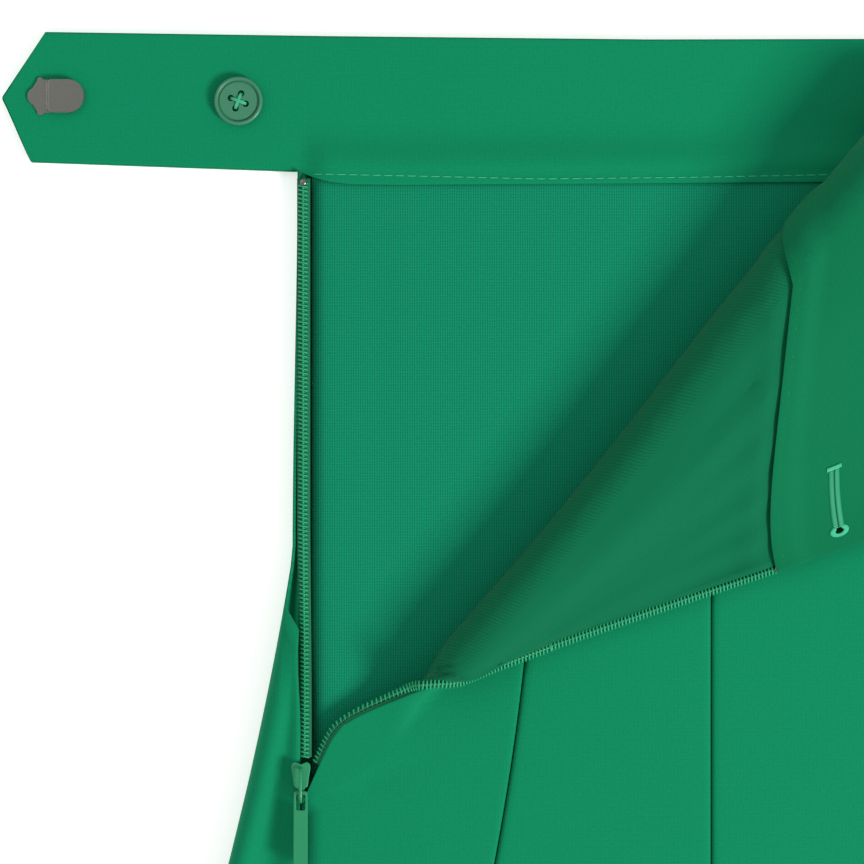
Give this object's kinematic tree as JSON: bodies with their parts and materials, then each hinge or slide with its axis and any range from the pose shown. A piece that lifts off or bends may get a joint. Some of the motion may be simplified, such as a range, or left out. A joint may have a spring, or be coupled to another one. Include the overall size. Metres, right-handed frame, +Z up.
{
  "type": "pleated golf skirt",
  "caption": "Knife-pleated sports skirt laid flat, its side zip undone and its front corner turned over to show the inside.",
  "frame": {"origin": "on the underside of the back panel, on the centre line, half way from waist to hem", "axes": "+X along the waist to the closed side, +Y up to the waist, +Z up from the surface it lies on"},
  "size_m": [0.535, 0.4012, 0.0326],
  "materials": {
    "outer": "matte stretch weave",
    "lining": "fine knit",
    "zip": "nylon coil on woven tape",
    "painted_zinc": "satin paint",
    "steel": "dark nickel plate",
    "button_resin": "satin resin"
  },
  "bodies": {
    "skirt": {"back_panel": "outer", "back_lining": "lining", "back_band": "outer", "front_panel": "outer", "front_lining": "lining", "front_band": "outer", "zip_tape_back": "zip", "zip_tape_front": "zip", "zip_slider": "painted_zinc", "top_stop_back": "steel", "top_stop_front": "steel", "button": "button_resin", "hook": "steel", "hook_bar": "steel"},
    "pull_tab": {"pull_tab": "painted_zinc"}
  },
  "joints": [
    {"name": "pull_tab_swing", "type": "hinge", "parent": "skirt", "child": "pull_tab", "pos_m": [-0.18865, -0.0315, 0.01355], "axis": [-1, 0, 0], "range_deg": [0, 110]}
  ]
}
